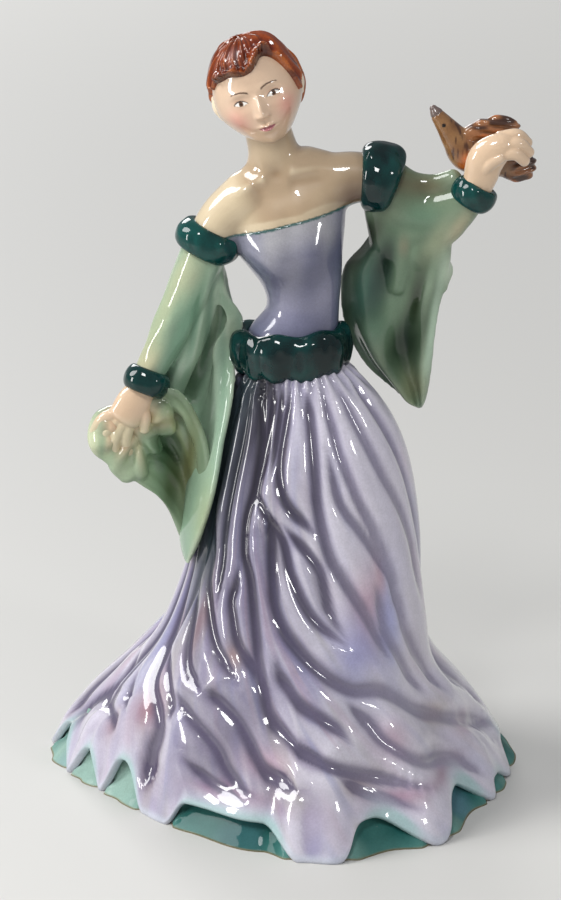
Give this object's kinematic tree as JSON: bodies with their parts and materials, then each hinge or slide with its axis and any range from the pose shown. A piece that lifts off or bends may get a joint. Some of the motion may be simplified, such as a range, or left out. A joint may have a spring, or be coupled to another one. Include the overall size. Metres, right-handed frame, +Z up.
{
  "type": "ceramic lady figurine",
  "caption": "Glazed ceramic figurine of a lady in a long flared gown with wide hanging sleeves, holding a small bird on one raised hand; it stands on its closed hem.",
  "frame": {"origin": "middle of the figure's bounding box, at the height of the foot ring it stands on", "axes": "+Z up; the figure faces -Y; +X is the viewer's right when looking at its face, the side of the raised hand"},
  "size_m": [0.1344, 0.1296, 0.2108],
  "materials": {
    "gown_glaze": "hand-painted lilac under a clear gloss glaze",
    "underskirt_glaze": "turquoise under a clear gloss glaze",
    "trim_glaze": "dark teal under a clear gloss glaze",
    "sleeve_glaze": "celadon green over ivory under a clear gloss glaze",
    "skin_glaze": "warm ivory under a clear gloss glaze",
    "hair_glaze": "auburn brush strokes under a clear gloss glaze",
    "bird_glaze": "brown and orange brush marks under a clear gloss glaze",
    "beak_glaze": "black-brown under a clear gloss glaze",
    "base_body": "unglazed, matt"
  },
  "bodies": {
    "root": {"skirt": "gown_glaze", "underskirt": "underskirt_glaze", "base_disc": "base_body", "shoulders": "skin_glaze", "bodice": "gown_glaze", "waist_sash": "trim_glaze", "head": "skin_glaze", "hair": "hair_glaze", "right_sleeve": "sleeve_glaze", "left_sleeve": "sleeve_glaze", "right_armband": "trim_glaze", "left_armband": "trim_glaze", "right_drape": "sleeve_glaze", "left_drape": "sleeve_glaze", "right_hand": "skin_glaze", "left_hand": "skin_glaze", "right_wristband": "trim_glaze", "left_wristband": "trim_glaze", "held_cloth": "sleeve_glaze", "bird_body": "bird_glaze", "bird_beak": "beak_glaze", "bird_wing": "bird_glaze", "bird_tail": "bird_glaze"}
  },
  "joints": []
}
